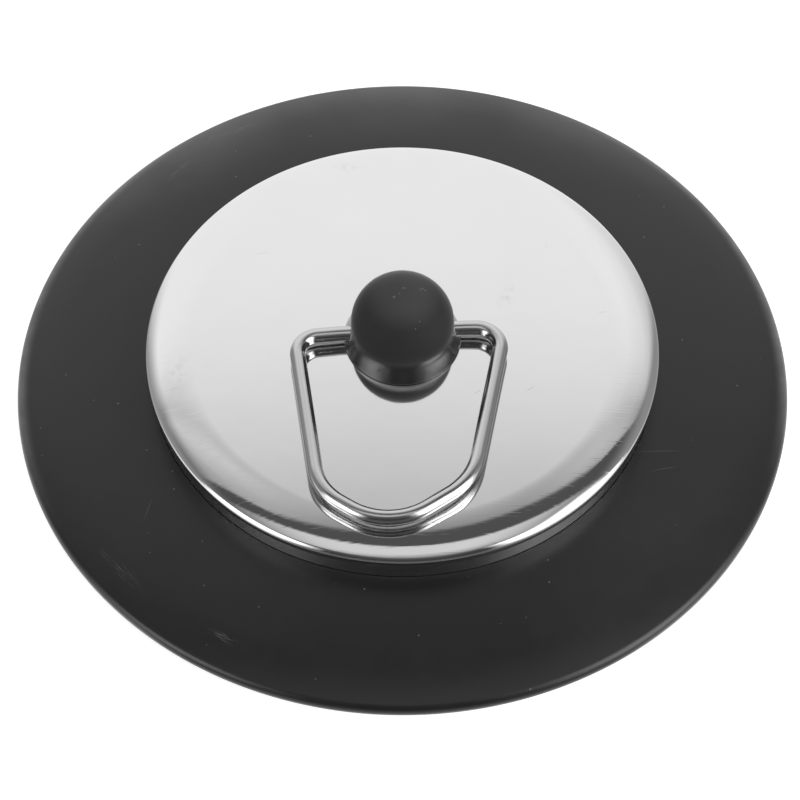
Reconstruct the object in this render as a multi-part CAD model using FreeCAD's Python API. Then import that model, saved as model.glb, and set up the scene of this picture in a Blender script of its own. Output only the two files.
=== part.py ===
import FreeCAD, Part
import math
import os

# Drain stopper: rubber sealing flange, pressed metal cap, rubber knob on a metal
# core, and a wire bail that swings on the knob. Millimetres.
# The frame's origin is the centre of the sealing plane, +Z up, and the bail's
# pivot runs along X. At rest the bail lies flat over the cap, towards -Y.

V = FreeCAD.Vector

# ---------------------------------------------------------------- dimensions
# sealing flange
DISC_R = 50.0             # outer radius
RIM_ROUND = 1.1           # rim rounding
FLANGE_ROOT_Z = 5.9       # top of the rubber where it meets the cap's skirt
FLANGE_BREAK_R = 44.0     # where the gentle slope turns into the rim's fall
FLANGE_ROOT_SLOPE = 4.5   # degrees
FLANGE_BREAK_SLOPE = 11.0
FLANGE_RIM_SLOPE = 22.0
LAND_IN_R = 43.6          # inner edge of the flat sealing land
UNDER_Z = 1.7             # ceiling of the relief behind the land
RING_OUT_R = 33.6         # stiffening ring under the cap's edge
RING_IN_R = 29.4
RING_Z = 0.6
POCKET_Z = 3.7            # ceiling of the cored pockets
PAD_R = 14.0              # centre pad round the fastener
POCKET_COUNT = 8
RIB_W = 2.6

# cap
SHEET = 0.6               # sheet thickness
CAP_R = 33.1              # over the bead
PLATE_Z = 12.24           # top of the plate at the centre
# the plate's edge: rounding radius, and the slopes in degrees where each arc
# starts and ends, from the shallow dome out to the widest line of the bead
EDGE_ARCS = [(19.0, 2.6, 14.0), (6.03, 14.0, 31.8), (0.95, 31.8, 90.0)]
BEAD_UNDER_ROUND = 1.9    # lower rounding of the bead
SKIRT_R = 32.5            # outside of the skirt
SKIRT_SINK = 0.6          # depth of the skirt's edge in the rubber's groove
HEM_IN_R = 31.1           # inner edge of the hem that grips the boss
SEAT_GAP = 0.05           # room between the cap and the rubber

# knob
BALL_R = 6.585
BALL_Z = 15.66            # centre of the ball
WAIST_DEG = 2.5           # the ball ends this far below its equator
WAIST_ROUND = 3.0         # hollow between the ball and the flared foot
FLARE_DEG = 23.0          # half angle of the flared foot
FOOT_ROUND = 0.15

# knob core
NECK_R = 3.0
NECK_BOTTOM_Z = 7.0
COLLAR_R = 4.9
COLLAR_TOP_Z = 15.85
GROOVE_TOP_Z = 16.65
HEAD_R = 4.2
HEAD_TOP_Z = 18.45
MOULD_GAP = 0.02

# fastener
SCREW_R = 2.0
SCREW_HEAD_R = 4.0
SCREW_HEAD_Z = 0.65       # lowest face of the head, above the sealing plane
SCREW_HEAD_H = 2.0
SCREW_TIP_Z = 11.5
TAP_R = 2.03
TAP_TOP_Z = 12.0
WASHER_R = 10.0
WASHER_HOLE_R = 2.15
WASHER_T = 1.2

# bail
WIRE_R = 1.015
PIVOT_Z = 13.62
BORE_R = 1.065            # bore that the wire turns in
END_GAP = 0.35            # each wire end stops this far from the axis
# corners of the wire's centre line in its own plane, with their bend radii
BAIL_CORNERS = [
    ((-8.0, 0.0), 12.0),
    ((-13.78, -0.26), 2.8),
    ((-11.92, -23.92), 7.4),
    ((-3.47, -30.46), 8.4),
    ((7.47, -23.60), 9.1),
    ((13.10, -0.22), 3.1),
    ((8.0, 0.0), 12.0),
]


# ---------------------------------------------------------------- helpers
def rad(deg):
    return math.radians(deg)


def p(r, z):
    return V(r, 0.0, z)


def line(a, b):
    return Part.LineSegment(p(*a), p(*b)).toShape()


def arc_about(c, radius, a0, a1):
    # arc about c in the r-z plane; angles in degrees from +r towards +z
    pts = []
    for a in (a0, 0.5 * (a0 + a1), a1):
        pts.append(p(c[0] + radius * math.cos(rad(a)), c[1] + radius * math.sin(rad(a))))
    return Part.Arc(*pts).toShape()


def on(c, radius, a):
    return (c[0] + radius * math.cos(rad(a)), c[1] + radius * math.sin(rad(a)))


def turned(edges):
    face = Part.Face(Part.Wire(edges))
    return face.revolve(V(0, 0, 0), V(0, 0, 1), 360)


def cylinder(r, z0, z1, x=0.0, y=0.0):
    return Part.makeCylinder(r, z1 - z0, V(x, y, z0))


def cross_rod(r, z, half):
    return Part.makeCylinder(r, 2 * half, V(-half, 0, z), V(1, 0, 0))


def solid(shape, name):
    shape = shape.removeSplitter()
    if shape.ShapeType != "Solid":
        solids = shape.Solids
        if len(solids) != 1:
            raise ValueError("%s has %d solids" % (name, len(solids)))
        shape = solids[0]
    if not shape.isValid():
        raise ValueError("%s is not valid" % name)
    return shape


# ---------------------------------------------------------------- cap's curve
# the shallow dome, then the edge arcs, each tangent to the one before it;
# arcs holds (centre, radius, first angle, last angle) on the top face
edge_width = sum(q * (math.sin(rad(s1)) - math.sin(rad(s0))) for q, s0, s1 in EDGE_ARCS)
dome_end_r = CAP_R - edge_width
dome_r = dome_end_r / math.sin(rad(EDGE_ARCS[0][1]))
dome_c = (0.0, PLATE_Z - dome_r)
arcs = [(dome_c, dome_r, 90.0, 90 - EDGE_ARCS[0][1])]
for q, s0, s1 in EDGE_ARCS:
    end = on(arcs[-1][0], arcs[-1][1], arcs[-1][3])
    arcs.append(((end[0] - q * math.sin(rad(s0)), end[1] - q * math.cos(rad(s0))), q, 90 - s0, 90 - s1))
bead_z = arcs[-1][0][1]
under_c = (CAP_R - BEAD_UNDER_ROUND, bead_z)
crease_deg = -math.degrees(math.acos((SKIRT_R - under_c[0]) / BEAD_UNDER_ROUND))
in_skirt_r = SKIRT_R - SHEET
in_under_round = BEAD_UNDER_ROUND - SHEET
in_crease_deg = -math.degrees(math.acos((in_skirt_r - under_c[0]) / in_under_round))


def plate_arcs(depth, r_from, count, last_deg=None):
    # the first arcs of the plate, the given depth below its top face, from
    # radius r_from outwards: the edges and their two end points
    a_in = math.degrees(math.acos(r_from / (dome_r - depth)))
    edges = []
    for i, (c, radius, a0, a1) in enumerate(arcs[:count]):
        if i == 0:
            a0 = a_in
        if i == count - 1 and last_deg is not None:
            a1 = last_deg
        edges.append(arc_about(c, radius - depth, a0, a1))
        end = on(c, radius - depth, a1)
    return edges, on(dome_c, dome_r - depth, a_in), end


# ---------------------------------------------------------------- cap
def make_cap():
    hole = NECK_R + 0.05
    skirt_z = FLANGE_ROOT_Z - SKIRT_SINK
    top, top_in, top_out = plate_arcs(0.0, hole, len(arcs))
    low, low_in, low_out = plate_arcs(SHEET, hole, len(arcs))
    crease = on(under_c, BEAD_UNDER_ROUND, crease_deg)
    in_crease = on(under_c, in_under_round, in_crease_deg)
    print("bead widest at z = %.3f, crease at z = %.3f" % (bead_z, crease[1]))
    edges = list(top)
    edges.append(arc_about(under_c, BEAD_UNDER_ROUND, 0, crease_deg))
    edges.append(line(crease, (SKIRT_R, skirt_z + 0.2)))
    edges.append(line((SKIRT_R, skirt_z + 0.2), (SKIRT_R - 0.2, skirt_z)))
    edges.append(line((SKIRT_R - 0.2, skirt_z), (HEM_IN_R, skirt_z)))
    edges.append(line((HEM_IN_R, skirt_z), (HEM_IN_R, skirt_z + SHEET)))
    edges.append(line((HEM_IN_R, skirt_z + SHEET), (in_skirt_r, skirt_z + SHEET)))
    edges.append(line((in_skirt_r, skirt_z + SHEET), in_crease))
    edges.append(arc_about(under_c, in_under_round, in_crease_deg, 0))
    edges.extend(low)
    edges.append(line(low_in, top_in))
    return solid(turned(Part.__sortEdges__(edges)), "cap")


# ---------------------------------------------------------------- sealing disc
def make_seal_disc():
    skirt_z = FLANGE_ROOT_Z - SKIRT_SINK
    groove_out = SKIRT_R + SEAT_GAP
    groove_in = HEM_IN_R - SEAT_GAP
    groove_z = skirt_z - SEAT_GAP
    boss_r = in_skirt_r - SEAT_GAP
    hem_top = skirt_z + SHEET + SEAT_GAP
    washer_seat = SCREW_HEAD_Z + SCREW_HEAD_H + WASHER_T

    s0, s1, s2 = FLANGE_ROOT_SLOPE, FLANGE_BREAK_SLOPE, FLANGE_RIM_SLOPE
    ra = (FLANGE_BREAK_R - groove_out) / (math.sin(rad(s1)) - math.sin(rad(s0)))
    ca = (groove_out - ra * math.sin(rad(s0)), FLANGE_ROOT_Z - ra * math.cos(rad(s0)))
    brk = on(ca, ra, 90 - s1)
    rim_r = DISC_R - RIM_ROUND + RIM_ROUND * math.sin(rad(s2))
    rb = (rim_r - FLANGE_BREAK_R) / (math.sin(rad(s2)) - math.sin(rad(s1)))
    cb = (brk[0] - rb * math.sin(rad(s1)), brk[1] - rb * math.cos(rad(s1)))
    rim = on(cb, rb, 90 - s2)
    cr = (DISC_R - RIM_ROUND, rim[1] - RIM_ROUND * math.cos(rad(s2)))
    foot = cr[1]
    print("rim widest at z = %.3f" % foot)

    boss_top, bt_in, bt_out = plate_arcs(SHEET + SEAT_GAP, NECK_R + 0.1, 2, 78.0)

    edges = []
    edges.append(arc_about(ca, ra, 90 - s0, 90 - s1))
    edges.append(arc_about(cb, rb, 90 - s1, 90 - s2))
    edges.append(arc_about(cr, RIM_ROUND, 90 - s2, 0))
    edges.append(arc_about((DISC_R - foot, foot), foot, 0, -90))
    pts = [(DISC_R - foot, 0.0),
           (LAND_IN_R, 0.0),
           (LAND_IN_R - UNDER_Z * 0.8, UNDER_Z),
           (RING_OUT_R + (UNDER_Z - RING_Z) * 0.6, UNDER_Z),
           (RING_OUT_R, RING_Z),
           (2.15 + 8.15, RING_Z),
           (2.15 + 8.15, washer_seat),
           (2.15, washer_seat),
           (2.15, NECK_BOTTOM_Z - 0.05),
           (NECK_R + 0.1, NECK_BOTTOM_Z - 0.05),
           bt_in]
    for a, b in zip(pts, pts[1:]):
        edges.append(line(a, b))
    edges.extend(boss_top)
    pts = [bt_out,
           (boss_r, bt_out[1] - 1.2),
           (boss_r, hem_top),
           (groove_in, hem_top),
           (groove_in, groove_z),
           (groove_out, groove_z),
           (groove_out, FLANGE_ROOT_Z)]
    for a, b in zip(pts, pts[1:]):
        edges.append(line(a, b))
    body = turned(Part.__sortEdges__(edges))

    # cored pockets between the radial ribs of the underside
    ring = cylinder(RING_IN_R, RING_Z - 1.0, POCKET_Z).cut(cylinder(PAD_R, RING_Z - 1.0, POCKET_Z))
    for i in range(POCKET_COUNT):
        rib = Part.makeBox(RING_IN_R + 5, RIB_W, POCKET_Z + 2, V(0, -RIB_W / 2, RING_Z - 2.0))
        rib.rotate(V(0, 0, 0), V(0, 0, 1), 360.0 * (i + 0.5) / POCKET_COUNT)
        ring = ring.cut(rib)
    pockets = []
    for s in ring.Solids:
        upright = [e for e in s.Edges
                   if abs(e.BoundBox.XLength) < 1e-6 and abs(e.BoundBox.YLength) < 1e-6]
        pockets.append(s.makeFillet(1.2, upright))
    body = body.cut(Part.makeCompound(pockets))

    # a fine water groove on the sealing land leaves two sealing lips
    groove = Part.makeTorus(46.3, 0.35, V(0, 0, 0), V(0, 0, 1))
    body = body.cut(groove)
    return solid(body, "seal_disc")


# ---------------------------------------------------------------- knob and core
def core_edges(grow):
    g = grow
    top = HEAD_TOP_Z + g
    pts = [(0.0, PLATE_Z),
           (COLLAR_R + g, PLATE_Z),
           (COLLAR_R + g, COLLAR_TOP_Z + g),
           (NECK_R + g, COLLAR_TOP_Z + g),
           (NECK_R + g, GROOVE_TOP_Z - g),
           (HEAD_R + g, GROOVE_TOP_Z - g),
           (HEAD_R + g, top - 0.6),
           (HEAD_R + g - 0.6, top),
           (0.0, top),
           (0.0, PLATE_Z)]
    return [line(a, b) for a, b in zip(pts, pts[1:])]


def make_knob_core():
    body = turned(core_edges(0.0))
    body = body.fuse(cylinder(NECK_R, NECK_BOTTOM_Z, PLATE_Z + 0.2))
    tap = cylinder(TAP_R, NECK_BOTTOM_Z - 1, TAP_TOP_Z)
    lead = Part.makeCone(TAP_R + 0.4, TAP_R, 0.4, V(0, 0, NECK_BOTTOM_Z))
    body = body.cut(tap).cut(lead)
    body = body.cut(cross_rod(BORE_R, PIVOT_Z, COLLAR_R + 3))
    return solid(body, "knob_core")


def make_knob():
    # the ball, a hollow waist, then a straight flare down to the cap
    c = (0.0, BALL_Z)
    reach = BALL_R + WAIST_ROUND
    waist_c = on(c, reach, -WAIST_DEG)
    flare_top = on(waist_c, WAIST_ROUND, 180 + FLARE_DEG)
    drop = flare_top[1] - (PLATE_Z + FOOT_ROUND * (1 + math.sin(rad(FLARE_DEG))))
    flare_low = (flare_top[0] + drop * math.tan(rad(FLARE_DEG)), flare_top[1] - drop)
    foot_c = (flare_low[0] - FOOT_ROUND * math.cos(rad(FLARE_DEG)), PLATE_Z + FOOT_ROUND)
    print("knob foot radius %.3f" % (foot_c[0] + FOOT_ROUND))
    edges = [arc_about(c, BALL_R, 90, -WAIST_DEG)]
    edges.append(arc_about(waist_c, WAIST_ROUND, 180 - WAIST_DEG, 180 + FLARE_DEG))
    edges.append(line(flare_top, flare_low))
    edges.append(arc_about(foot_c, FOOT_ROUND, FLARE_DEG, -90))
    edges.append(line((foot_c[0], PLATE_Z), (0.0, PLATE_Z)))
    edges.append(line((0.0, PLATE_Z), (0.0, BALL_Z + BALL_R)))
    body = turned(Part.__sortEdges__(edges))
    body = body.cut(turned(core_edges(MOULD_GAP)))
    body = body.cut(cross_rod(BORE_R, PIVOT_Z, foot_c[0] + 2))
    return solid(body, "knob")


# ---------------------------------------------------------------- fastener
def make_clamp_screw():
    z0, z1 = SCREW_HEAD_Z, SCREW_HEAD_Z + SCREW_HEAD_H
    r = SCREW_HEAD_R
    edges = [line((0, z0), (r - 1.1, z0)),
             arc_about((r - 1.1, z0 + 1.1), 1.1, -90, 0),
             line((r, z0 + 1.1), (r, z1)),
             line((r, z1), (SCREW_R, z1)),
             line((SCREW_R, z1), (SCREW_R, SCREW_TIP_Z - 0.6)),
             line((SCREW_R, SCREW_TIP_Z - 0.6), (SCREW_R - 0.6, SCREW_TIP_Z)),
             line((SCREW_R - 0.6, SCREW_TIP_Z), (0, SCREW_TIP_Z)),
             line((0, SCREW_TIP_Z), (0, z0))]
    body = turned(edges)
    for a in (0, 90):
        slot = Part.makeBox(4.4, 0.95, 1.2, V(-2.2, -0.475, z0 - 0.1))
        slot.rotate(V(0, 0, 0), V(0, 0, 1), a + 22.0)
        body = body.cut(slot)
    return solid(body, "clamp_screw")


def make_clamp_washer():
    z0 = SCREW_HEAD_Z + SCREW_HEAD_H
    ring = cylinder(WASHER_R, z0, z0 + WASHER_T)
    rims = [e for e in ring.Edges if e.Length > 30 and hasattr(e.Curve, "Radius")]
    ring = ring.makeFillet(0.25, rims)
    ring = ring.cut(cylinder(WASHER_HOLE_R, z0 - 1, z0 + WASHER_T + 1))
    return solid(ring, "clamp_washer")


# ---------------------------------------------------------------- bail
def bail_path():
    # straight runs joined by tangent arcs, from one wire end to the other
    pts = [V(-END_GAP, 0, PIVOT_Z)]
    pts += [V(x, y, PIVOT_Z) for (x, y), _ in BAIL_CORNERS]
    pts.append(V(END_GAP, 0, PIVOT_Z))
    edges = []
    at = pts[0]
    for i, (_, radius) in enumerate(BAIL_CORNERS, start=1):
        a, b, c = pts[i - 1], pts[i], pts[i + 1]
        u = (a - b).normalize()
        w = (c - b).normalize()
        half = 0.5 * u.getAngle(w)
        cut = radius / math.tan(half)
        t0 = b + u * cut
        t1 = b + w * cut
        mid_dir = (u + w).normalize()
        mid = b + mid_dir * (radius / math.sin(half) - radius)
        edges.append(Part.LineSegment(at, t0).toShape())
        edges.append(Part.Arc(t0, mid, t1).toShape())
        at = t1
    edges.append(Part.LineSegment(at, pts[-1]).toShape())
    return Part.Wire(edges)


def make_bail():
    path = bail_path()
    ring = Part.Wire(Part.makeCircle(WIRE_R, V(-END_GAP, 0, PIVOT_Z), V(1, 0, 0)))
    body = path.makePipeShell([ring], True, False)
    if body.Volume < 0:
        body.reverse()
    length = path.Length
    print("bail wire length %.2f mm, volume %.3f of section x length" %
          (length, body.Volume / (math.pi * WIRE_R ** 2 * length)))
    return solid(body, "bail")


# ---------------------------------------------------------------- write
os.makedirs("parts", exist_ok=True)
NODES = {
    "seal_disc": make_seal_disc(),
    "cap": make_cap(),
    "knob": make_knob(),
    "knob_core": make_knob_core(),
    "clamp_screw": make_clamp_screw(),
    "clamp_washer": make_clamp_washer(),
    "bail": make_bail(),
}
for name, shape in NODES.items():
    shape.exportStep("parts/%s.step" % name)
    b = shape.BoundBox
    print("%-13s volume %9.2f  x %.2f..%.2f  y %.2f..%.2f  z %.2f..%.2f" %
          (name, shape.Volume, b.XMin, b.XMax, b.YMin, b.YMax, b.ZMin, b.ZMax))
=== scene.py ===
import math

import bpy
import numpy as np
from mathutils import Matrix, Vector


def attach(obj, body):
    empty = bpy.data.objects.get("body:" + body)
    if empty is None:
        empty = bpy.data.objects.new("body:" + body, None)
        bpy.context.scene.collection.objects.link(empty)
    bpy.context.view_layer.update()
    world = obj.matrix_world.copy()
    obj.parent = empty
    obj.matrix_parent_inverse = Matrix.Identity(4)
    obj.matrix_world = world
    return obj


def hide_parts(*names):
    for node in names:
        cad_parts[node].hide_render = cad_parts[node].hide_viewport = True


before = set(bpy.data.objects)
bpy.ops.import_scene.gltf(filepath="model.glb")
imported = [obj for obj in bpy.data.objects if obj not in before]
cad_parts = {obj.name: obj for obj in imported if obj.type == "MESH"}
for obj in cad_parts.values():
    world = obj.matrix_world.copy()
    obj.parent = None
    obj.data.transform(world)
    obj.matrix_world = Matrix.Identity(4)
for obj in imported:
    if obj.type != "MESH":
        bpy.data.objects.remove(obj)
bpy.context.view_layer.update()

# Drain stopper: rubber sealing flange, polished pressed cap, rubber knob and a
# bright wire bail. Shapes are worked out in millimetres and written in metres.
MM = 0.001

# ------------------------------------------------------------------ dimensions
DISC_R = 50.0
RIM_ROUND = 1.1
ROOT_Z = 5.9
BREAK_R = 44.0
SLOPES = (4.5, 11.0, 22.0)
LAND_IN_R = 43.6
UNDER_Z = 1.7
RING_OUT_R = 33.6
RING_IN_R = 29.4
RING_Z = 0.6
POCKET_Z = 3.7
PAD_R = 14.0
RIB_W = 2.6

SHEET = 0.6
CAP_R = 33.1
PLATE_Z = 12.24
EDGE_ARCS = [(19.0, 2.6, 14.0), (6.03, 14.0, 31.8), (0.95, 31.8, 90.0)]
UNDER_ROUND = 1.9
SKIRT_R = 32.5
SKIRT_TOP_R = 32.28
SINK = 0.6
HEM_R = 31.1
SEAT_GAP = 0.05

BALL_R = 6.585
BALL_Z = 15.66
WAIST_DEG = 2.5
WAIST_ROUND = 3.0
FLARE_DEG = 23.0
FOOT_ROUND = 0.15

NECK_R = 3.0
NECK_Z = 7.0
COLLAR_R = 4.9
COLLAR_Z = 15.85
GROOVE_Z = 16.65
HEAD_R = 4.2
HEAD_Z = 18.45

SEAT_Z = 3.85
WIRE_R = 1.015
PIVOT_Z = 13.62
BORE_R = 1.065
END_GAP = 0.35
BAIL = [
    ((-8.0, 0.0), 12.0),
    ((-13.78, -0.26), 2.8),
    ((-11.92, -23.92), 7.4),
    ((-3.47, -30.46), 8.4),
    ((7.47, -23.60), 9.1),
    ((13.10, -0.22), 3.1),
    ((8.0, 0.0), 12.0),
]


# ------------------------------------------------------------------ profiles
# A profile runs anticlockwise round the section (r to the right, z up), so the
# outside is on its right. Each run is a list of (r, z, nr, nz).
def rad(a):
    return math.radians(a)


def run(a, b, n=1):
    d = np.array(b, float) - np.array(a, float)
    d /= np.linalg.norm(d)
    return [(a[0] + (b[0] - a[0]) * t, a[1] + (b[1] - a[1]) * t, d[1], -d[0]) for t in np.linspace(0, 1, n + 1)]


def arc(c, radius, a0, a1, step=6.0):
    n = max(2, int(math.ceil(abs(a1 - a0) / step)))
    side = 1.0 if a1 > a0 else -1.0
    out = []
    for a in np.linspace(a0, a1, n + 1):
        k, s = math.cos(rad(a)), math.sin(rad(a))
        out.append((c[0] + radius * k, c[1] + radius * s, side * k, side * s))
    return out


def at(c, radius, a):
    return (c[0] + radius * math.cos(rad(a)), c[1] + radius * math.sin(rad(a)))


def corners(points, step=15.0):
    # straight runs through (r, z, rounding) with tangent arcs at the corners
    runs = []
    start = np.array(points[0][:2], float)
    for i in range(1, len(points)):
        b = np.array(points[i][:2], float)
        rho = points[i][2] if len(points[i]) > 2 and i < len(points) - 1 else 0.0
        if rho <= 0.0:
            if np.linalg.norm(b - start) > 1e-9:
                runs.append(run(tuple(start), tuple(b)))
            start = b
            continue
        c = np.array(points[i + 1][:2], float)
        u = (b - np.array(points[i - 1][:2], float))
        u /= np.linalg.norm(u)
        w = (c - b) / np.linalg.norm(c - b)
        turn = math.atan2(u[0] * w[1] - u[1] * w[0], float(u @ w))
        cut = rho * math.tan(abs(turn) / 2)
        p0, p1 = b - u * cut, b + w * cut
        side = 1.0 if turn > 0 else -1.0
        centre = p0 + side * rho * np.array((-u[1], u[0]))
        a0 = math.degrees(math.atan2(*(p0 - centre)[::-1]))
        if np.linalg.norm(p0 - start) > 1e-9:
            runs.append(run(tuple(start), tuple(p0)))
        runs.append(arc(tuple(centre), rho, a0, a0 + math.degrees(turn), step))
        start = p1
    return runs


class Solid:
    """Vertices and faces in millimetres, with a normal for each face corner."""

    def __init__(self):
        self.v, self.f, self.n = [], [], []

    def add(self, p):
        self.v.append(p)
        return len(self.v) - 1

    def face(self, idx, nrm):
        self.f.append(idx)
        self.n.extend(nrm)

    def ring(self, r, z, cols):
        if r < 1e-7:
            return [self.add((0.0, 0.0, z))]
        k = 2 * math.pi / cols
        return [self.add((r * math.cos(k * j), r * math.sin(k * j), z)) for j in range(cols)]

    def lathe(self, runs, cols, closed=True):
        """Turns the runs about Z. A run given as None leaves that stretch open; returns the open stretches' rings."""
        k = 2 * math.pi / cols
        cs = [(math.cos(k * j), math.sin(k * j)) for j in range(cols)]
        first = last = None
        opened = []
        waiting = False
        for q in runs:
            if q is None:
                waiting = True
                continue
            if last is None or waiting:
                head = self.ring(q[0][0], q[0][1], cols)
                if waiting:
                    opened.append((last, head))
                waiting = False
                last = head
            if first is None:
                first = last
            for m in range(1, len(q)):
                ending = closed and q is runs[-1] and m == len(q) - 1
                new = first if ending else self.ring(q[m][0], q[m][1], cols)
                ra, rb = q[m - 1], q[m]
                if len(last) == 1 and len(new) == 1:
                    last = new
                    continue
                for j in range(cols):
                    i = (j + 1) % cols
                    na0 = (ra[2] * cs[j][0], ra[2] * cs[j][1], ra[3])
                    na1 = (ra[2] * cs[i][0], ra[2] * cs[i][1], ra[3])
                    nb0 = (rb[2] * cs[j][0], rb[2] * cs[j][1], rb[3])
                    nb1 = (rb[2] * cs[i][0], rb[2] * cs[i][1], rb[3])
                    if len(last) == 1:
                        self.face((last[0], new[i], new[j]), ((0.0, 0.0, 1.0 if ra[3] > 0 else -1.0), nb1, nb0))
                    elif len(new) == 1:
                        self.face((last[j], last[i], new[0]), (na0, na1, (0.0, 0.0, 1.0 if rb[3] > 0 else -1.0)))
                    else:
                        self.face((last[j], last[i], new[i], new[j]), (na0, na1, nb1, nb0))
                last = new
        return opened

    def mesh(self, name, keep_normals=True):
        me = bpy.data.meshes.new(name)
        me.from_pydata([(x * MM, y * MM, z * MM) for x, y, z in self.v], [], self.f)
        me.polygons.foreach_set("use_smooth", [True] * len(me.polygons))
        me.update()
        if keep_normals:
            me.normals_split_custom_set(self.n)
        return me


def piece(name, mesh, body, node, material):
    ob = bpy.data.objects.new(name, mesh)
    bpy.context.scene.collection.objects.link(ob)
    ob.data.materials.clear()
    ob.data.materials.append(material)
    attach(ob, body)
    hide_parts(node)
    return ob


# ------------------------------------------------------------------ cap curve
edge_width = sum(q * (math.sin(rad(s1)) - math.sin(rad(s0))) for q, s0, s1 in EDGE_ARCS)
dome_end = CAP_R - edge_width
dome_r = dome_end / math.sin(rad(EDGE_ARCS[0][1]))
dome_c = (0.0, PLATE_Z - dome_r)
plate = [(dome_c, dome_r, 90.0, 90.0 - EDGE_ARCS[0][1])]
for q, s0, s1 in EDGE_ARCS:
    e = at(plate[-1][0], plate[-1][1], plate[-1][3])
    plate.append(((e[0] - q * math.sin(rad(s0)), e[1] - q * math.cos(rad(s0))), q, 90 - s0, 90 - s1))
bead_z = plate[-1][0][1]
under_c = (CAP_R - UNDER_ROUND, bead_z)
in_skirt = SKIRT_R - SHEET


def plate_inwards(depth, r_to, count, first_deg=None):
    # the plate's arcs from its edge in to radius r_to
    out = []
    for i in reversed(range(count)):
        c, radius, a0, a1 = plate[i]
        if i == count - 1 and first_deg is not None:
            a1 = first_deg
        if i == 0:
            a0 = math.degrees(math.acos(r_to / (radius - depth)))
        out.append(arc(c, radius - depth, a1, a0, 0.1 if i == 0 else 1.2 if i == 1 else 3.0))
    return out


def outwards(runs):
    return [[(r, z, -nr, -nz) for r, z, nr, nz in reversed(q)] for q in reversed(runs)]


def make_cap():
    rho = 0.3
    zc = bead_z - math.sqrt((UNDER_ROUND + rho) ** 2 - (SKIRT_TOP_R - under_c[0] + rho) ** 2)
    tilt = math.degrees(math.atan2(bead_z - zc, SKIRT_TOP_R + rho - under_c[0]))
    lo = ROOT_Z - SINK
    flare = SKIRT_R + 0.045
    hole = NECK_R + 0.05
    top = plate_inwards(0.0, hole, len(plate))
    low = outwards(plate_inwards(SHEET, hole, len(plate)))
    in_round = UNDER_ROUND - SHEET
    in_deg = -math.degrees(math.acos((in_skirt - under_c[0]) / in_round))
    runs = corners([(HEM_R, lo), (flare, lo, 0.25), (SKIRT_TOP_R, zc)])
    runs.append(arc((SKIRT_TOP_R + rho, zc), rho, 180.0, 180.0 - tilt, 6.0))
    runs.append(arc(under_c, UNDER_ROUND, -tilt, 0.0, 3.0))
    runs += top
    runs.append(run(top[-1][-1][:2], low[0][0][:2]))
    runs += low
    runs.append(arc(under_c, in_round, 0.0, in_deg, 6.0))
    runs += corners([at(under_c, in_round, in_deg), (in_skirt, lo + SHEET), (HEM_R, lo + SHEET), (HEM_R, lo)])
    s = Solid()
    s.lathe(runs, 384)
    return s.mesh("cap_shell")


# ------------------------------------------------------------------ sealing disc
def pocket_outline(d, per_arc, per_side):
    """The pocket between two ribs, taken in by d, as four stretches of points with their inward directions."""
    half = rad(22.5)
    rib, ro, ri = RIB_W / 2 + d, RING_IN_R - d, PAD_R + d
    rho = max(1.3 - d, 0.25)
    u = np.array((math.cos(half), math.sin(half)))
    w = np.array((-math.sin(half), math.cos(half)))
    to = math.sqrt((ro - rho) ** 2 - (rib + rho) ** 2)
    ti = math.sqrt((ri + rho) ** 2 - (rib + rho) ** 2)
    co = -(rib + rho) * w + to * u
    ci = -(rib + rho) * w + ti * u
    ao, ai = math.atan2(co[1], co[0]), math.atan2(ci[1], ci[0])

    def fillet(c, a, b, n):
        return [((c[0] + rho * math.cos(t), c[1] + rho * math.sin(t)), (-math.cos(t), -math.sin(t)))
                for t in np.linspace(a, b, n)]

    nf = 5
    line_a = math.atan2(w[1], w[0])
    mid_o = 0.5 * (ao + line_a)
    mid_i = 0.5 * (line_a + (ai + math.pi))
    m = per_arc - 2 * (nf - 1)
    outer = [((ro * math.cos(t), ro * math.sin(t)), (-math.cos(t), -math.sin(t))) for t in np.linspace(-ao, ao, m + 1)]
    outer = [((x, -y), (a, -b)) for (x, y), (a, b) in reversed(fillet(co, ao, mid_o, nf))][:-1] + outer \
        + fillet(co, ao, mid_o, nf)[1:]
    inner = [((ri * math.cos(t), ri * math.sin(t)), (math.cos(t), math.sin(t))) for t in np.linspace(ai, -ai, m + 1)]
    inner = fillet(ci, mid_i, ai + math.pi, nf)[:-1] + inner \
        + [((x, -y), (a, -b)) for (x, y), (a, b) in reversed(fillet(ci, mid_i, ai + math.pi, nf))][1:]
    k = per_side - 2 * (nf - 1)
    p0, p1 = -rib * w + to * u, -rib * w + ti * u
    side = [(tuple(p0 + (p1 - p0) * t), tuple(-w)) for t in np.linspace(0, 1, k + 1)]
    side = fillet(co, mid_o, line_a, nf)[:-1] + side + fillet(ci, line_a, mid_i, nf)[1:]
    other = [((x, -y), (a, -b)) for (x, y), (a, b) in reversed(side)]
    # anticlockwise: outer arc, side down, inner arc back, other side up
    return outer, side, inner, other


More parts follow.
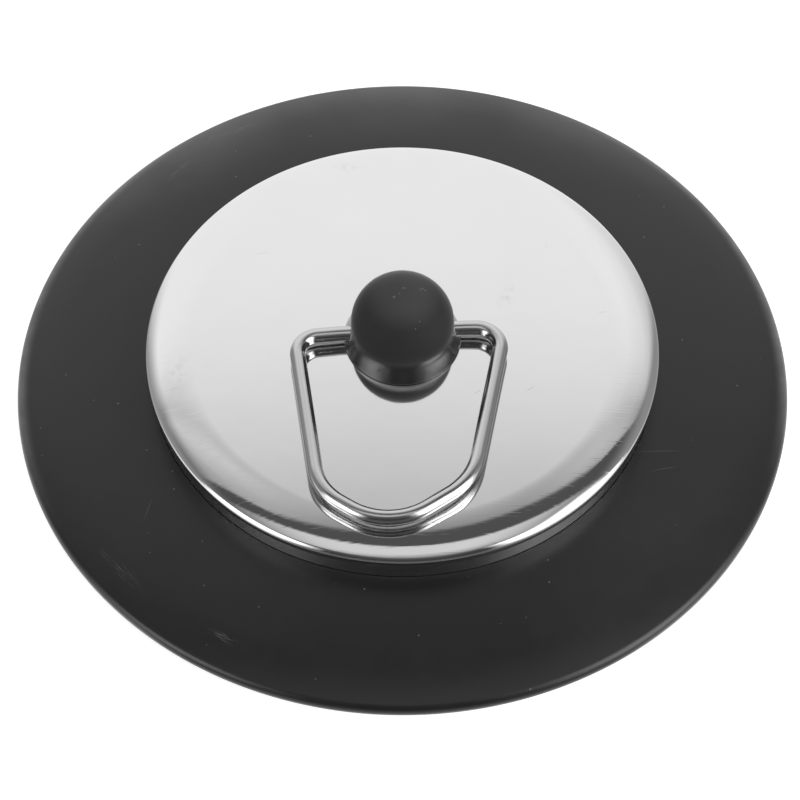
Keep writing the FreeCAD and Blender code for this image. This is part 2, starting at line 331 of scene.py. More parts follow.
def make_seal_disc():
    cols, per_arc, per_side = 416, 52, 24
    g_out, g_in = SKIRT_R + SEAT_GAP, HEM_R - SEAT_GAP
    g_z = ROOT_Z - SINK - SEAT_GAP
    boss = in_skirt - SEAT_GAP
    hem = ROOT_Z - SINK + SHEET + SEAT_GAP
    s0, s1, s2 = SLOPES
    ra = (BREAK_R - g_out) / (math.sin(rad(s1)) - math.sin(rad(s0)))
    ca = (g_out - ra * math.sin(rad(s0)), ROOT_Z - ra * math.cos(rad(s0)))
    brk = at(ca, ra, 90 - s1)
    rim_r = DISC_R - RIM_ROUND + RIM_ROUND * math.sin(rad(s2))
    rb = (rim_r - BREAK_R) / (math.sin(rad(s2)) - math.sin(rad(s1)))
    cb = (brk[0] - rb * math.sin(rad(s1)), brk[1] - rb * math.cos(rad(s1)))
    rim = at(cb, rb, 90 - s2)
    cr = (DISC_R - RIM_ROUND, rim[1] - RIM_ROUND * math.cos(rad(s2)))
    foot = cr[1]
    r1, r2 = 11.2, 32.6
    bt = plate_inwards(SHEET + SEAT_GAP, NECK_R + 0.1, 2, 78.0)

    runs = corners([(2.15, SEAT_Z), (10.3, SEAT_Z, 0.3), (10.3, RING_Z, 0.5), (r1, RING_Z)])
    runs.append(None)
    runs += corners([(r2, RING_Z), (RING_OUT_R, RING_Z, 0.5),
                     (RING_OUT_R + (UNDER_Z - RING_Z) * 0.6, UNDER_Z, 0.7),
                     (LAND_IN_R - UNDER_Z * 0.8, UNDER_Z, 0.9), (LAND_IN_R, 0.0, 0.25), (45.95, 0.0)], 10.0)
    runs.append(arc((46.3, 0.0), 0.35, 180.0, 0.0, 15.0))
    runs.append(run((46.65, 0.0), (DISC_R - foot, 0.0), 2))
    runs.append(arc((DISC_R - foot, foot), foot, -90.0, 0.0, 5.0))
    runs.append(arc(cr, RIM_ROUND, 0.0, 90 - s2, 3.0))
    runs.append(arc(cb, rb, 90 - s2, 90 - s1, 1.0))
    runs.append(arc(ca, ra, 90 - s1, 90 - s0, 0.25))
    runs += corners([(g_out, ROOT_Z), (g_out, g_z), (g_in, g_z), (g_in, hem), (boss, hem),
                     (boss, bt[0][0][1] - 1.2), bt[0][0][:2]])
    runs += bt
    runs += corners([bt[-1][-1][:2], (NECK_R + 0.1, NECK_Z - 0.05), (2.15, NECK_Z - 0.05), (2.15, SEAT_Z)])
    s = Solid()
    (inner, outer), = s.lathe(runs, cols)

    # the flat underside between two circles, with eight cored pockets
    down = (0.0, 0.0, -1.0)
    levels = [(-0.3 + 0.3 * math.sin(rad(a)), RING_Z + 0.3 * (1 - math.cos(rad(a))), math.sin(rad(a)), math.cos(rad(a)))
              for a in (0, 22.5, 45, 67.5, 90)]
    levels += [(0.06, POCKET_Z - 0.6, 1.0, 0.0)]
    levels += [(0.06 + 0.6 * (1 - math.cos(rad(b))), POCKET_Z - 0.6 + 0.6 * math.sin(rad(b)), math.cos(rad(b)), math.sin(rad(b)))
               for b in (22.5, 45, 67.5, 90)]
    spokes = []
    for i in range(8):
        # rib centre lines, shared by the two sectors beside them
        t = rad(22.5 + 45.0 * i)
        j = 26 + 52 * i
        line = [outer[j]]
        for q in range(1, per_side):
            r = r2 + (r1 - r2) * q / per_side
            line.append(s.add((r * math.cos(t), r * math.sin(t), RING_Z)))
        line.append(inner[j])
        spokes.append(line)
    for i in range(8):
        ck, sk = math.cos(rad(45.0 * i)), math.sin(rad(45.0 * i))
        rings = []
        for d, z, ni, nd in levels:
            loop = []
            for stretch in pocket_outline(d, per_arc, per_side):
                for (x, y), (a, b) in stretch[:-1]:
                    loop.append((s.add((x * ck - y * sk, x * sk + y * ck, z)),
                                 (ni * (a * ck - b * sk), ni * (a * sk + b * ck), -nd)))
            rings.append(loop)
        lo_j, hi_j = (52 * i - 26) % cols, 52 * i + 26
        arc_out = [outer[(lo_j + q) % cols] for q in range(per_arc + 1)]
        arc_in = [inner[(hi_j - q) % cols] for q in range(per_arc + 1)]
        up = list(reversed(spokes[(i - 1) % 8]))
        border = arc_out[:-1] + spokes[i][:-1] + arc_in[:-1] + up[:-1]
        n = len(border)
        first = rings[0]
        for q in range(n):
            w = (q + 1) % n
            s.face((border[q], first[q][0], first[w][0], border[w]), (down,) * 4)
        for lower, upper in zip(rings, rings[1:]):
            for q in range(n):
                w = (q + 1) % n
                s.face((lower[q][0], upper[q][0], upper[w][0], lower[w][0]),
                       (lower[q][1], upper[q][1], upper[w][1], lower[w][1]))
        # ceiling of the pocket as a grid between its four sides
        idx = [q[0] for q in rings[-1]]
        a, b = per_arc, per_side
        east = idx[0:a + 1]
        south = idx[a:a + b + 1]
        west = list(reversed(idx[a + b:2 * a + b + 1]))
        north = list(reversed(idx[2 * a + b:] + idx[:1]))
        grid = [[None] * (b + 1) for _ in range(a + 1)]
        for q in range(a + 1):
            grid[q][0], grid[q][b] = east[q], west[q]
        for w in range(b + 1):
            grid[0][w], grid[a][w] = north[w], south[w]
        for q in range(1, a):
            for w in range(1, b):
                fu, fv = q / a, w / b
                e, we = np.array(s.v[east[q]]), np.array(s.v[west[q]])
                no, so = np.array(s.v[north[w]]), np.array(s.v[south[w]])
                c00, c10 = np.array(s.v[east[0]]), np.array(s.v[east[a]])
                c01, c11 = np.array(s.v[west[0]]), np.array(s.v[west[a]])
                p = (1 - fv) * e + fv * we + (1 - fu) * no + fu * so - (
                    (1 - fu) * (1 - fv) * c00 + fu * (1 - fv) * c10 + (1 - fu) * fv * c01 + fu * fv * c11)
                grid[q][w] = s.add(tuple(p))
        for q in range(a):
            for w in range(b):
                s.face((grid[q][w], grid[q][w + 1], grid[q + 1][w + 1], grid[q + 1][w]), (down,) * 4)
    return s.mesh("seal_disc_rubber")


# ------------------------------------------------------------------ knob
def make_knob():
    # the ball, a hollow waist, then a straight flare down to the cap
    c = (0.0, BALL_Z)
    waist_c = at(c, BALL_R + WAIST_ROUND, -WAIST_DEG)
    flare_top = at(waist_c, WAIST_ROUND, 180 + FLARE_DEG)
    drop = flare_top[1] - (PLATE_Z + FOOT_ROUND * (1 + math.sin(rad(FLARE_DEG))))
    flare_low = (flare_top[0] + drop * math.tan(rad(FLARE_DEG)), flare_top[1] - drop)
    foot_c = (flare_low[0] - FOOT_ROUND * math.cos(rad(FLARE_DEG)), PLATE_Z + FOOT_ROUND)
    g = 0.02
    runs = corners([(COLLAR_R + g, PLATE_Z), (foot_c[0], PLATE_Z)])
    runs.append(arc(foot_c, FOOT_ROUND, -90.0, FLARE_DEG, 12.0))
    runs.append(run(flare_low, flare_top, 5))
    runs.append(arc(waist_c, WAIST_ROUND, 180 + FLARE_DEG, 180 - WAIST_DEG, 2.0))
    runs.append(arc(c, BALL_R, -WAIST_DEG, 90.0, 2.0))
    top = HEAD_Z + g
    runs.append([(0.0, BALL_Z + BALL_R, 0.0, 1.0), (0.0, top, 0.0, 1.0)])
    runs += corners([(0.0, top), (HEAD_R + g - 0.6, top), (HEAD_R + g, top - 0.6), (HEAD_R + g, GROOVE_Z - g),
                     (NECK_R + g, GROOVE_Z - g), (NECK_R + g, COLLAR_Z + g), (COLLAR_R + g, COLLAR_Z + g),
                     (COLLAR_R + g, PLATE_Z)])
    s = Solid()
    s.lathe(runs, 192)
    me = s.mesh("knob_rubber", keep_normals=False)
    drill = Solid()
    k = 64
    ends = []
    for x in (-10.0, 10.0):
        ends.append([drill.add((x, BORE_R * math.cos(2 * math.pi * j / k), PIVOT_Z + BORE_R * math.sin(2 * math.pi * j / k)))
                     for j in range(k)])
    up = (0.0, 0.0, 1.0)
    for j in range(k):
        i = (j + 1) % k
        drill.face((ends[0][j], ends[0][i], ends[1][i], ends[1][j]), (up,) * 4)
    drill.face(tuple(reversed(ends[0])), (up,) * k)
    drill.face(tuple(ends[1]), (up,) * k)
    tool = bpy.data.objects.new("bore_tool", drill.mesh("bore_tool", keep_normals=False))
    ob = bpy.data.objects.new("knob_blank", me)
    for o in (tool, ob):
        bpy.context.scene.collection.objects.link(o)
    mod = ob.modifiers.new("bore", "BOOLEAN")
    mod.operation, mod.solver, mod.object = "DIFFERENCE", "EXACT", tool
    dg = bpy.context.evaluated_depsgraph_get()
    out = bpy.data.meshes.new_from_object(ob.evaluated_get(dg))
    out.name = "knob_rubber"
    for o in (tool, ob):
        bpy.data.objects.remove(o)
    out.polygons.foreach_set("use_smooth", [True] * len(out.polygons))
    out.set_sharp_from_angle(angle=rad(28.0))
    out.update()
    return out


# ------------------------------------------------------------------ bail
def bail_line():
    pts = [np.array((-END_GAP, 0.0))] + [np.array(p) for p, _ in BAIL] + [np.array((END_GAP, 0.0))]
    out = []

    def stretch(a, b):
        d = (b - a) / np.linalg.norm(b - a)
        n = max(1, int(np.linalg.norm(b - a) / 1.2))
        for t in np.linspace(0, 1, n + 1):
            out.append((a + (b - a) * t, d))

    here = pts[0]
    for i, (_, rho) in enumerate(BAIL, start=1):
        a, b, c = pts[i - 1], pts[i], pts[i + 1]
        u, w = (b - a) / np.linalg.norm(b - a), (c - b) / np.linalg.norm(c - b)
        turn = math.atan2(u[0] * w[1] - u[1] * w[0], float(u @ w))
        cut = rho * math.tan(abs(turn) / 2)
        p0, p1 = b - u * cut, b + w * cut
        side = 1.0 if turn > 0 else -1.0
        cen = p0 + side * rho * np.array((-u[1], u[0]))
        stretch(here, p0)
        n = max(3, int(abs(math.degrees(turn)) / 3.0))
        for t in np.linspace(0, turn, n + 1)[1:-1]:
            k, s = math.cos(t), math.sin(t)
            v = p0 - cen
            out.append((cen + np.array((k * v[0] - s * v[1], s * v[0] + k * v[1])),
                        np.array((k * u[0] - s * u[1], s * u[0] + k * u[1]))))
        here = p1
    stretch(here, pts[-1])
    kept = [out[0]]
    for p, d in out[1:]:
        if np.linalg.norm(p - kept[-1][0]) > 1e-6:
            kept.append((p, d))
    return kept


def make_bail():
    sides = 40
    line = bail_line()
    s = Solid()
    rows = []
    along = [0.0]
    for (p, _), (q, _) in zip(line, line[1:]):
        along.append(along[-1] + float(np.linalg.norm(q - p)))

    def section(p, d, radius, lean):
        b = np.array((d[1], -d[0], 0.0))
        row = []
        for j in range(sides):
            a = 2 * math.pi * j / sides
            n = math.cos(a) * b + math.sin(a) * np.array((0.0, 0.0, 1.0))
            x = np.array((p[0], p[1], PIVOT_Z)) + radius * n
            m = n * math.cos(lean) + np.array((d[0], d[1], 0.0)) * math.sin(lean)
            row.append((s.add(tuple(x)), tuple(m)))
        return row

    # rounded cut ends, inside the knob
    e = 0.25
    p, d = line[0]
    for a in (90.0, 60.0, 30.0):
        rows.append((section(p + d * (e - e * math.sin(rad(a))), d, WIRE_R - e + e * math.cos(rad(a)), -rad(a)), 0.0))
    rows.append((section(p + d * e, d, WIRE_R, 0.0), e))
    for (p, d), t in list(zip(line, along))[1:-1]:
        rows.append((section(p, d, WIRE_R, 0.0), t))
    p, d = line[-1]
    rows.append((section(p - d * e, d, WIRE_R, 0.0), along[-1] - e))
    for a in (30.0, 60.0, 90.0):
        rows.append((section(p - d * (e - e * math.sin(rad(a))), d, WIRE_R - e + e * math.cos(rad(a)), rad(a)), along[-1]))
    uv = []
    for (ra, ta), (rb, tb) in zip(rows, rows[1:]):
        for j in range(sides):
            i = (j + 1) % sides
            s.face((ra[j][0], rb[j][0], rb[i][0], ra[i][0]), (ra[j][1], rb[j][1], rb[i][1], ra[i][1]))
            uv += [(ta, j / sides), (tb, j / sides), (tb, (j + 1) / sides), (ta, (j + 1) / sides)]
    for (row, t), sign in ((rows[0], -1), (rows[-1], 1)):
        idx = [q[0] for q in row]
        d = line[0][1] if sign < 0 else line[-1][1]
        n = (sign * d[0], sign * d[1], 0.0)
        if sign > 0:
            idx = idx[::-1]
        s.face(tuple(idx), (n,) * sides)
        uv += [(t, 0.0)] * sides
    me = s.mesh("bail_wire")
    layer = me.uv_layers.new(name="wire")
    layer.data.foreach_set("uv", np.array([(u * 0.1, v) for u, v in uv], np.float32).ravel())
    return me


# ------------------------------------------------------------------ materials
class Graph:
    def __init__(self, tree):
        self.t = tree
        tree.nodes.clear()

    def node(self, kind, ins=None, **props):
        n = self.t.nodes.new(kind)
        for k, v in props.items():
            setattr(n, k, v)
        for k, v in (ins or {}).items():
            self.put(n.inputs[k], v)
        return n

    def put(self, socket, v):
        if isinstance(v, bpy.types.NodeSocket):
            self.t.links.new(v, socket)
        else:
            socket.default_value = v

    def math(self, op, a, b=None, c=None, clamp=False):
        n = self.t.nodes.new("ShaderNodeMath")
        n.operation, n.use_clamp = op, clamp
        for i, v in enumerate((a, b, c)):
            if v is not None:
                self.put(n.inputs[i], v)
        return n.outputs[0]

    def span(self, v, a, b, c=0.0, d=1.0, smooth=True):
        n = self.node("ShaderNodeMapRange", {0: v, 1: a, 2: b, 3: c, 4: d})
        n.interpolation_type = "SMOOTHSTEP" if smooth else "LINEAR"
        return n.outputs[0]

    def noise(self, vec, scale, detail=2.0, rough=0.5, dims="3D"):
        n = self.node("ShaderNodeTexNoise", {"Vector": vec, "Scale": scale, "Detail": detail, "Roughness": rough})
        n.noise_dimensions = dims
        return n.outputs["Fac"]

    def mapping(self, vec, loc=(0, 0, 0), rot=(0, 0, 0), scale=(1, 1, 1), kind="POINT"):
        n = self.node("ShaderNodeMapping", {"Vector": vec, "Location": loc, "Rotation": rot, "Scale": scale})
        n.vector_type = kind
        return n.outputs[0]

    def mark(self, vec, x, y, turn, length, width, soft=0.6):
        """1 in a soft long spot at x, y (in the vector's units), 0 outside it."""
        m = self.mapping(vec, (x, y, 0), (0, 0, rad(turn)), (length, width, 1.0), "TEXTURE")
        d = self.node("ShaderNodeVectorMath", {0: m}, operation="LENGTH").outputs["Value"]
        return self.span(d, 1.0, 1.0 - soft)

    def highest(self, vals):
        out = vals[0]
        for v in vals[1:]:
            out = self.math("MAXIMUM", out, v)
        return out

    def mix(self, f, a, b):
        n = self.t.nodes.new("ShaderNodeMix")
        n.data_type = "RGBA"
        self.put(n.inputs["Factor"], f)
        self.put(n.inputs[6], a)
        self.put(n.inputs[7], b)
        return n.outputs[2]


def grey(v, warm=0.0):
    return (v * (1 + warm), v, v * (1 - warm), 1.0)


def new_material(name):
    m = bpy.data.materials.new(name)
    m.use_nodes = True
    g = Graph(m.node_tree)
    out = g.node("ShaderNodeOutputMaterial")
    b = g.node("ShaderNodeBsdfPrincipled")
    g.t.links.new(b.outputs[0], out.inputs[0])
    return m, g, b


def flat_mm(g):
    # x and y of the surface in millimetres, flattened onto the plan
    co = g.node("ShaderNodeTexCoord").outputs["Object"]
    return co, g.mapping(co, scale=(1000.0, 1000.0, 0.0))


def flange_rubber():
    m, g, b = new_material("moulded_rubber")
    co, plan = flat_mm(g)
    cloud = g.noise(co, 60.0, 4.0, 0.6)
    bloom = g.noise(co, 320.0, 5.0, 0.65)
    grain = g.noise(co, 5200.0, 3.0, 0.6)
    v = g.math("MULTIPLY_ADD", g.math("ADD", cloud, g.math("MULTIPLY", bloom, 0.5)), 0.004, 0.0065)
    base = g.node("ShaderNodeCombineColor", {0: v, 1: v, 2: v}).outputs[0]
    # dust: a few pale specks
    vor = g.node("ShaderNodeTexVoronoi", {"Vector": plan, "Scale": 0.30}, voronoi_dimensions="2D")
    pick = g.node("ShaderNodeSeparateColor", {0: vor.outputs["Color"]})
    size = g.math("MULTIPLY_ADD", pick.outputs[1], 0.020, 0.014)
    dust = g.math("MULTIPLY", g.math("LESS_THAN", vor.outputs["Distance"], size),
                  g.math("GREATER_THAN", pick.outputs[0], 0.90))
    # rubbed arcs near the rim, broken into fine strokes, and scratches
    sep = g.node("ShaderNodeSeparateXYZ", {0: plan})
    ang = g.math("ARCTAN2", sep.outputs[1], sep.outputs[0])
    rr = g.node("ShaderNodeVectorMath", {0: plan}, operation="LENGTH").outputs["Value"]
    polar = g.node("ShaderNodeCombineXYZ", {0: g.math("MULTIPLY", ang, 46.0), 1: rr, 2: 0.0}).outputs[0]
    marks = [g.mark(polar, rad(a) * 46.0, r, t, ln, wd) for a, r, t, ln, wd in RUBBED]
    scuff = g.highest(marks)
    stroke = g.span(g.noise(g.mapping(polar, scale=(0.35, 6.0, 1.0)), 1.0, 4.0, 0.7), 0.50, 0.68)
    scuff = g.math("MULTIPLY", scuff, stroke)
    lines = g.highest([g.mark(plan, x, y, t, ln, wd, 0.9) for x, y, t, ln, wd in SCRATCHED])
    # painted sheen: a few broad pale patches, fuller where the clouding is, stand in for the rubber's sheen under the
    # light at the back and at the right front
    painted_sheen = g.highest([g.math("MULTIPLY", g.mark(plan, x, y, t, ln, wd, 1.0), k) for x, y, t, ln, wd, k in PAINTED_SHEEN_PATCHES])
    painted_sheen = g.math("MULTIPLY", painted_sheen, g.span(cloud, 0.30, 0.70, 0.6, 1.2))
    pale = g.math("MAXIMUM", g.math("MULTIPLY", dust, 0.16),
                  g.math("MAXIMUM", g.math("MULTIPLY", scuff, 0.075), g.math("MULTIPLY", lines, 0.05)))
    pale = g.math("ADD", painted_sheen, pale)
    # painted highlight: the rim's rounded edge is painted paler along both sides, standing in for its reflection of the
    # bright table
    painted_rim_highlight = g.math("POWER", g.span(rr, 48.0, 49.9), 1.7)
    painted_rim_highlight = g.math("MULTIPLY", painted_rim_highlight, g.math("MULTIPLY", g.span(sep.outputs[1], -22.0, 4.0),
                                           g.span(sep.outputs[1], 46.0, 34.0)))
    painted_rim_highlight = g.math("MULTIPLY", painted_rim_highlight, g.span(bloom, 0.25, 0.75, 0.15, 0.25))
    pale = g.math("ADD", painted_rim_highlight, pale)
    g.put(b.inputs["Base Color"], g.mix(pale, base, grey(0.75)))
    rough = g.math("MULTIPLY_ADD", bloom, 0.12, 0.27)
    g.put(b.inputs["Roughness"], g.math("ADD", rough, g.math("MULTIPLY", scuff, 0.10)))
    h = g.math("ADD", g.math("MULTIPLY", grain, 0.35), g.math("ADD", bloom, g.math("MULTIPLY", scuff, -0.6)))
    bump = g.node("ShaderNodeBump", {"Strength": 0.20, "Distance": 0.00012, "Height": h})
    g.put(b.inputs["Normal"], bump.outputs[0])
    b.inputs["IOR"].default_value = 1.45
    b.inputs["Sheen Weight"].default_value = 0.58
    b.inputs["Sheen Roughness"].default_value = 0.3
    return m


def knob_rubber():
    m, g, b = new_material("knob_rubber")
    co = g.node("ShaderNodeTexCoord").outputs["Object"]
    x, _, z = g.node("ShaderNodeSeparateXYZ", {0: co}).outputs
    # matt on the ball, glossier from the waist down to the foot
    ball = g.span(z, (BALL_Z - 1.7) * MM, (BALL_Z + 0.3) * MM)
    cloud = g.noise(co, 220.0, 4.0, 0.6)
    fine = g.noise(co, 1500.0, 5.0, 0.65)
    grain = g.noise(co, 7000.0, 3.0, 0.6)
    # painted light: the crown of the ball is painted paler, as lit from above; the ball also has a few nicks and dust
    painted_top_light = g.span(z, (BALL_Z + 4.1) * MM, (BALL_Z + BALL_R) * MM)
    v = g.math("MULTIPLY_ADD", cloud, 0.006, g.math("MULTIPLY_ADD", painted_top_light, 0.032, g.math("MULTIPLY_ADD", ball, 0.002, 0.003)))
    base = g.node("ShaderNodeCombineColor", {0: v, 1: v, 2: v}).outputs[0]
    vor = g.node("ShaderNodeTexVoronoi", {"Vector": co, "Scale": 900.0})
    pick = g.node("ShaderNodeSeparateColor", {0: vor.outputs["Color"]})
    dust = g.math("MULTIPLY", g.math("LESS_THAN", vor.outputs["Distance"], 0.16),
                  g.math("GREATER_THAN", pick.outputs[0], 0.95))
    plan = g.mapping(co, scale=(1000.0, 1000.0, 0.0))
    nicks = g.highest([g.mark(plan, nx, ny, nt, ln, wd, 0.8) for nx, ny, nt, ln, wd in KNOB_NICKS])
    pale = g.math("MULTIPLY", g.math("MAXIMUM", g.math("MULTIPLY", dust, 0.10), g.math("MULTIPLY", nicks, 0.22)), ball)
    # one scratch across the front of the flare
    front = g.node("ShaderNodeCombineXYZ", {0: g.math("MULTIPLY", x, 1000.0), 1: g.math("MULTIPLY", z, 1000.0), 2: 0.0}).outputs[0]
    cut = g.mark(front, -3.35, 13.75, 50.0, 0.75, 0.10, 0.7)
    y = g.node("ShaderNodeSeparateXYZ", {0: co}).outputs[1]
    cut = g.math("MULTIPLY", cut, g.math("LESS_THAN", y, 0.0))
    g.put(b.inputs["Base Color"], g.mix(pale, base, grey(0.7)))
    rough = g.math("MULTIPLY_ADD", ball, 0.46, g.math("MULTIPLY_ADD", fine, 0.10, g.math("MULTIPLY_ADD", cut, 0.4, 0.27)))
    g.put(b.inputs["Roughness"], rough)
    h = g.math("ADD", g.math("MULTIPLY", grain, g.math("MULTIPLY_ADD", ball, 0.3, 0.08)), g.math("MULTIPLY", fine, 0.6))
    h = g.math("ADD", h, g.math("MULTIPLY_ADD", nicks, -1.2, g.math("MULTIPLY", cut, -1.0)))
    bump = g.node("ShaderNodeBump", {"Strength": 0.22, "Distance": 0.0001, "Height": h})
    g.put(b.inputs["Normal"], bump.outputs[0])
    b.inputs["IOR"].default_value = 1.46
    g.put(b.inputs["Coat Weight"], g.math("MULTIPLY", g.math("SUBTRACT", 1.0, ball), g.math("SUBTRACT", 1.0, cut)))
    b.inputs["Coat IOR"].default_value = 1.6
    b.inputs["Coat Roughness"].default_value = 0.25
    b.inputs["Sheen Weight"].default_value = 0.50
    b.inputs["Sheen Roughness"].default_value = 0.3
    return m


def polished_sheet():
    m, g, b = new_material("polished_sheet")
    co, plan = flat_mm(g)
    smear = g.noise(co, 90.0, 4.0, 0.6)
    tiny = g.noise(co, 900.0, 3.0, 0.6)
    lines = g.noise(g.mapping(plan, scale=(0.25, 3.4, 1.0)), 1.0, 3.0, 0.6)
    wave = g.noise(co, 110.0, 2.0, 0.5)
    marks = g.highest([g.mark(plan, x, y, t, ln, wd, 0.9) for x, y, t, ln, wd in SHEET_MARKS])
    smudge = g.highest([g.mark(plan, x, y, t, ln, wd, 1.0) for x, y, t, ln, wd in SHEET_SMUDGES])
    smudge = g.math("MULTIPLY", smudge, g.span(tiny, 0.42, 0.62))
    dark = g.math("MAXIMUM", g.math("MULTIPLY", marks, 0.35), g.math("MULTIPLY", smudge, 0.10))
    v = g.math("MULTIPLY_ADD", smear, 0.03, 0.685)
    base = g.node("ShaderNodeCombineColor", {0: v, 1: v, 2: v}).outputs[0]
    g.put(b.inputs["Base Color"], g.mix(dark, base, grey(0.25)))
    b.inputs["Metallic"].default_value = 1.0
    rough = g.math("MULTIPLY_ADD", smear, 0.03, 0.045)
    # the polishing wheel doesn't reach under the bead: the skirt is dull and mottled
    z = g.node("ShaderNodeSeparateXYZ", {0: co}).outputs[2]
    dull = g.span(z, (bead_z + 0.4) * MM, (bead_z - 1.3) * MM)
    dull = g.math("MULTIPLY", dull, g.span(tiny, 0.25, 0.65, 0.06, 0.16))
    rough = g.math("ADD", rough, dull)
    g.put(b.inputs["Roughness"], g.math("ADD", rough, g.math("MULTIPLY", g.math("MAXIMUM", marks, smudge), 0.10)))
    # fine strokes across the turned edge
    rr = g.node("ShaderNodeVectorMath", {0: plan}, operation="LENGTH").outputs["Value"]
    stroke = g.span(g.noise(g.mapping(plan, rot=(0, 0, rad(3.3)), scale=(0.16, 4.5, 1.0)), 1.0, 2.0, 0.6), 0.56, 0.74)
    stroke = g.math("MULTIPLY", stroke, g.span(rr, 27.0, 28.6))
    h = g.math("ADD", g.math("ADD", g.math("MULTIPLY", lines, 0.02), g.math("MULTIPLY", stroke, 0.10)), wave)
    bump = g.node("ShaderNodeBump", {"Strength": 0.10, "Distance": 0.0002, "Height": h})
    g.put(b.inputs["Normal"], bump.outputs[0])
    return m


def bright_wire():
    m, g, b = new_material("bright_wire")
    uv = g.node("ShaderNodeUVMap", uv_map="wire").outputs[0]
    co = g.node("ShaderNodeTexCoord").outputs["Object"]
    drawn = g.noise(g.mapping(uv, scale=(0.6, 26.0, 1.0)), 1.0, 4.0, 0.65)
    fine = g.noise(g.mapping(uv, scale=(2.0, 90.0, 1.0)), 1.0, 2.0, 0.5)
    patch = g.noise(co, 260.0, 3.0, 0.6)
    v = g.math("MULTIPLY_ADD", drawn, 0.16, 0.44)
    base = g.node("ShaderNodeCombineColor", {0: v, 1: v, 2: v}).outputs[0]
    g.put(b.inputs["Base Color"], base)
    b.inputs["Metallic"].default_value = 1.0
    g.put(b.inputs["Roughness"], g.math("MULTIPLY_ADD", patch, 0.10, 0.11))
    h = g.math("ADD", drawn, g.math("MULTIPLY", fine, 0.4))
    bump = g.node("ShaderNodeBump", {"Strength": 0.25, "Distance": 0.00006, "Height": h})
    g.put(b.inputs["Normal"], bump.outputs[0])
    return m


def core_brass():
    m, g, b = new_material("core_brass")
    co = g.node("ShaderNodeTexCoord").outputs["Object"]
    turned = g.noise(g.mapping(co, scale=(40.0, 40.0, 9000.0)), 1.0, 3.0, 0.6)
    cloud = g.noise(co, 500.0, 4.0, 0.6)
    g.put(b.inputs["Base Color"], g.mix(cloud, (0.62, 0.45, 0.19, 1), (0.78, 0.62, 0.32, 1)))
    b.inputs["Metallic"].default_value = 1.0
    g.put(b.inputs["Roughness"], g.math("MULTIPLY_ADD", cloud, 0.15, 0.22))
    bump = g.node("ShaderNodeBump", {"Strength": 0.3, "Distance": 0.00004, "Height": turned})
    g.put(b.inputs["Normal"], bump.outputs[0])
    return m


def fastener_steel():
    m, g, b = new_material("fastener_steel")
    co = g.node("ShaderNodeTexCoord").outputs["Object"]
    cloud = g.noise(co, 400.0, 4.0, 0.6)
    scratch = g.noise(g.mapping(co, rot=(0, 0, rad(25)), scale=(150.0, 4200.0, 900.0)), 1.0, 3.0, 0.6)
    v = g.math("MULTIPLY_ADD", cloud, 0.14, 0.46)
    g.put(b.inputs["Base Color"], g.node("ShaderNodeCombineColor", {0: v, 1: v, 2: v}).outputs[0])
    b.inputs["Metallic"].default_value = 1.0
    g.put(b.inputs["Roughness"], g.math("MULTIPLY_ADD", cloud, 0.18, 0.24))
    bump = g.node("ShaderNodeBump", {"Strength": 0.3, "Distance": 0.00003, "Height": scratch})
    g.put(b.inputs["Normal"], bump.outputs[0])
    return m


# marks of use, and patches of painted sheen. RUBBED: angle, radius, turn, half length, half width
RUBBED = [
    (-143.0, 46.5, 0.0, 5.0, 1.0),
    (-122.0, 46.0, 4.0, 4.0, 0.8),
    (128.0, 45.0, -6.0, 3.0, 0.8),
    (115.0, 46.8, 5.0, 3.2, 0.6),
]
# KNOB_NICKS, SCRATCHED and SHEET_MARKS: x, y, turn, half length, half width;
# the patches of painted sheen have their strength as well, and are painted light, not marks of use
KNOB_NICKS = [
    (0.05, 0.45, 60.0, 0.30, 0.06),
    (0.32, 0.42, -50.0, 0.24, 0.06),
    (-0.42, -0.42, 0.0, 0.11, 0.10),
    (2.55, 0.62, -10.0, 0.36, 0.06),
    (2.95, 0.42, 55.0, 0.24, 0.06),
    (1.40, -4.55, 0.0, 0.09, 0.08),
    (1.95, -3.81, 0.0, 0.09, 0.08),
]
# painted sheen: pale patches standing in for light on the rubber, with their strength last
PAINTED_SHEEN_PATCHES = [
    (30.0, -33.0, 46.0, 26.0, 13.0, 0.012),
    (0.0, 51.0, 0.0, 32.0, 16.0, 0.056),
    (-27.0, 43.0, 32.0, 26.0, 14.0, 0.066),
    (28.0, 43.0, -33.0, 24.0, 13.0, 0.050),
]
SCRATCHED = [
    (32.0, -15.0, 2.0, 4.0, 0.10),
    (32.5, -17.6, 12.0, 2.6, 0.09),
    (-33.5, -20.0, 70.0, 2.4, 0.08),
]
SHEET_MARKS = [
    (-17.5, 15.0, 6.0, 1.4, 0.05),
    (26.0, 3.0, 12.0, 1.0, 0.05),
    (15.8, -8.8, 35.0, 0.9, 0.09),
    (9.0, -9.0, 40.0, 0.8, 0.08),
    (19.6, 14.0, 0.0, 0.14, 0.12),
]
SHEET_SMUDGES = [
    (-29.0, -4.0, 70.0, 5.0, 2.6),
    (-5.5, 29.0, 5.0, 3.0, 1.4),
    (14.0, 6.0, 60.0, 3.0, 1.6),
]

mat_rubber = flange_rubber()
mat_knob = knob_rubber()
mat_sheet = polished_sheet()
mat_wire = bright_wire()
mat_brass = core_brass()
mat_steel = fastener_steel()

seal = piece("seal_disc_rubber", make_seal_disc(), "stopper", "seal_disc", mat_rubber)
cap = piece("cap_shell", make_cap(), "stopper", "cap", mat_sheet)
knob = piece("knob_rubber", make_knob(), "stopper", "knob", mat_knob)
bail = piece("bail_wire", make_bail(), "bail", "bail", mat_wire)
for node, mat in (("knob_core", mat_brass), ("clamp_screw", mat_steel), ("clamp_washer", mat_steel)):
    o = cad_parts[node]
    o.data.materials.clear()
    o.data.materials.append(mat)

